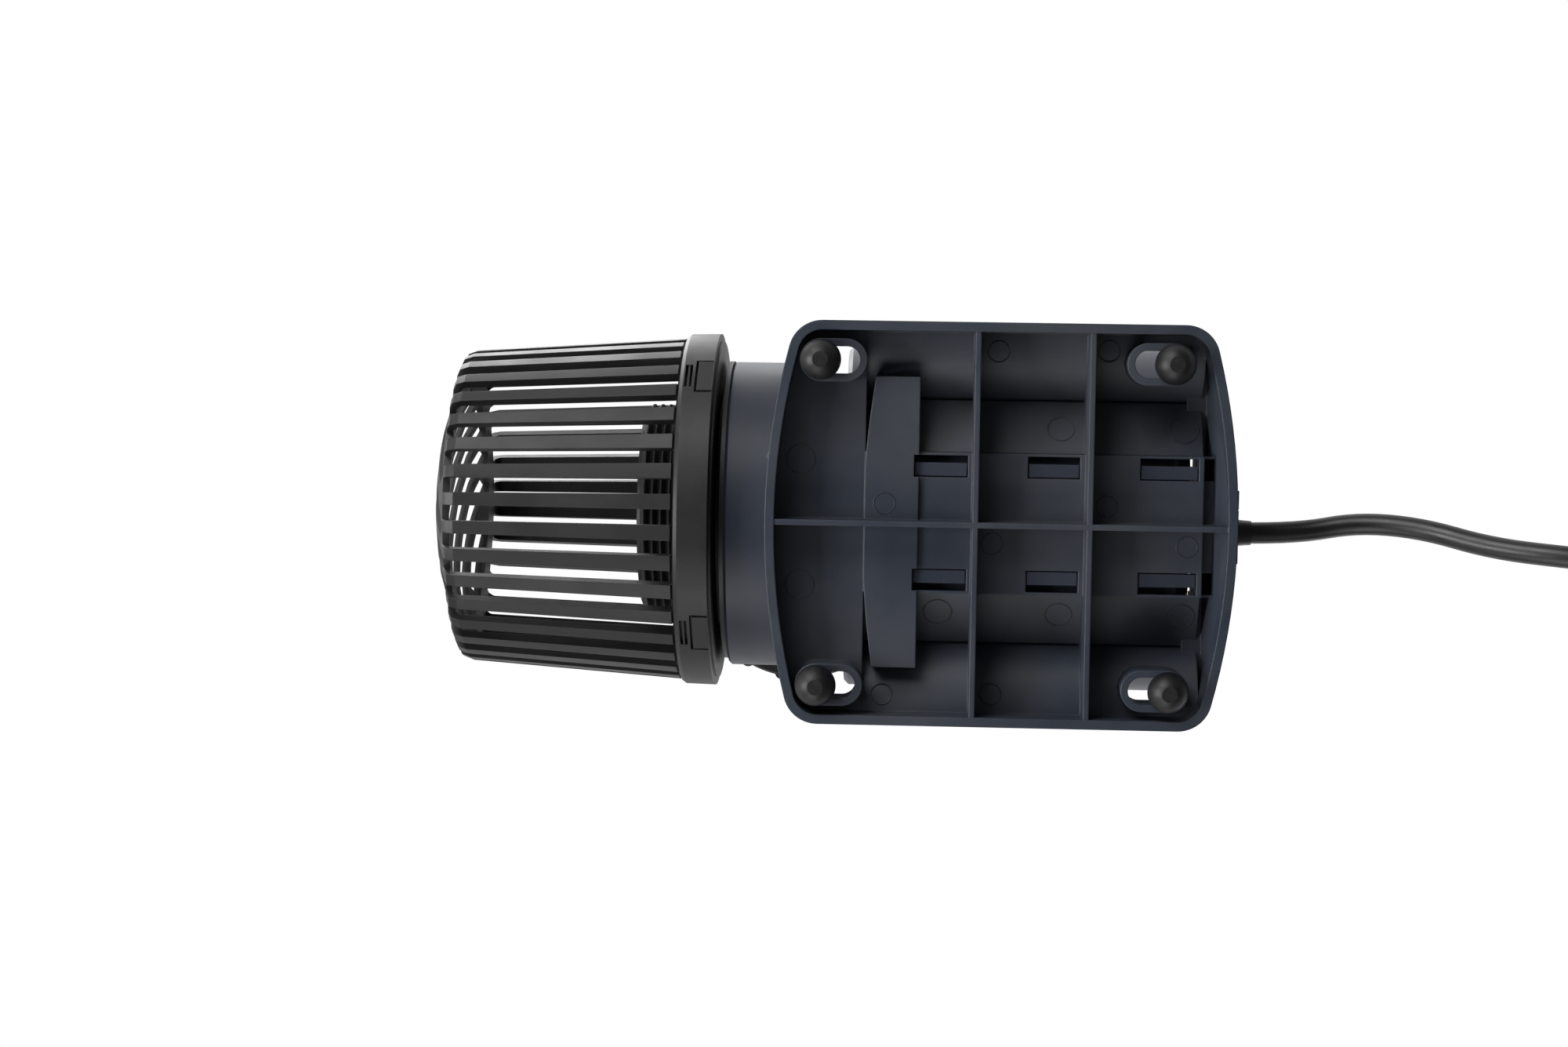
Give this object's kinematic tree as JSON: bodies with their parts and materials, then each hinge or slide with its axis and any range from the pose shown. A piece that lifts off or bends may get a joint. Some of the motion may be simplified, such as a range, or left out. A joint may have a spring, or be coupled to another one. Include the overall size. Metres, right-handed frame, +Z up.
{
  "type": "submersible aquarium pump",
  "caption": "Submersible water pump with slotted inlet strainer, threaded outlet with hose tail, round motor shell on a clip-on base with rubber feet, and a coiled cable.",
  "frame": {"origin": "middle of the pump's footprint, on the surface its rubber feet stand on; the free cable isn't counted", "axes": "+Z up, +X along the pump axis from the strainer to the cable exit, +Y to the outlet's side"},
  "size_m": [0.4256, 0.1194, 0.176],
  "materials": {
    "black_plastic": "moulded black, slightly glossy",
    "casing_plastic": "moulded dark blue-grey, fine grain",
    "base_plastic": "moulded dark blue-grey, fine grain",
    "foot_rubber": "dark rubber, smooth",
    "seal_rubber": "black rubber, matt",
    "cable_rubber": "black cable sheath, soft sheen",
    "bush": "ground ceramic",
    "impeller_plastic": "white moulded",
    "magnet": "coated ring magnet",
    "core_steel": "stacked laminations",
    "coil_wire": "enamelled copper wire",
    "board": "green solder mask",
    "board_parts": "black component bodies",
    "resin": "cast sealing resin",
    "screw_steel": "stainless",
    "tie_plastic": "black tie",
    "pin_brass": "plated contacts"
  },
  "bodies": {
    "housing": {"inlet_cover": "black_plastic", "cover_spider": "black_plastic", "cover_seal": "seal_rubber", "front_bearing": "bush", "front_bearing_seat": "seal_rubber", "volute_shell": "casing_plastic", "outlet_seal": "seal_rubber", "rotor_can": "black_plastic", "can_seal": "seal_rubber", "rear_bearing": "bush", "rear_bearing_seat": "seal_rubber", "stator_core": "core_steel", "stator_coils": "coil_wire", "driver_board": "board", "board_parts": "board_parts", "potting_resin": "resin", "motor_housing": "casing_plastic", "rear_cap": "casing_plastic", "cap_screws": "screw_steel", "cable_gland": "black_plastic", "cable_boot": "cable_rubber", "base_plate": "base_plastic", "foot_front_left": "foot_rubber", "foot_front_right": "foot_rubber", "foot_rear_left": "foot_rubber", "foot_rear_right": "foot_rubber", "cord_run": "cable_rubber", "cord_tail": "cable_rubber", "cord_coil": "cable_rubber", "coil_tie": "tie_plastic", "connector_boot": "cable_rubber", "connector_body": "black_plastic", "connector_nut": "black_plastic", "connector_pins": "pin_brass"},
    "rotor": {"impeller": "impeller_plastic", "rotor_magnet": "magnet", "rotor_shaft": "bush"},
    "gasket": {"strainer_gasket": "seal_rubber"},
    "collar": {"strainer_collar": "black_plastic"},
    "cage": {"strainer_cage": "black_plastic"},
    "tail": {"hose_tail": "black_plastic"},
    "nut": {"outlet_nut": "black_plastic"}
  },
  "joints": [
    {"name": "impeller_spin", "type": "hinge", "parent": "housing", "child": "rotor", "pos_m": [0, 0, 0.066], "axis": [1, 0, 0], "continuous": true},
    {"name": "strainer_travel", "type": "slide", "parent": "housing", "child": "gasket", "axis": [-1, 0, 0], "range_m": [0, 0.0105]},
    {"name": "strainer_turn", "type": "hinge", "parent": "gasket", "child": "collar", "pos_m": [-0.04, 0, 0.066], "axis": [-1, 0, 0], "range_deg": [0, 1620]},
    {"name": "cage_pull", "type": "slide", "parent": "collar", "child": "cage", "axis": [-1, 0, 0], "range_m": [0, 0.02]},
    {"name": "tail_lift", "type": "slide", "parent": "housing", "child": "tail", "axis": [0, 0, 1], "range_m": [0, 0.0116]},
    {"name": "outlet_nut_turn", "type": "hinge", "parent": "tail", "child": "nut", "pos_m": [-0.01175, 0.0209, 0.13], "axis": [0, 0, 1], "range_deg": [0, 1800]}
  ],
  "couplings": [
    {"joint": "strainer_travel", "follows": "strainer_turn", "m_per_rad": 0.00036749},
    {"joint": "tail_lift", "follows": "outlet_nut_turn", "m_per_rad": 0.00036749}
  ]
}
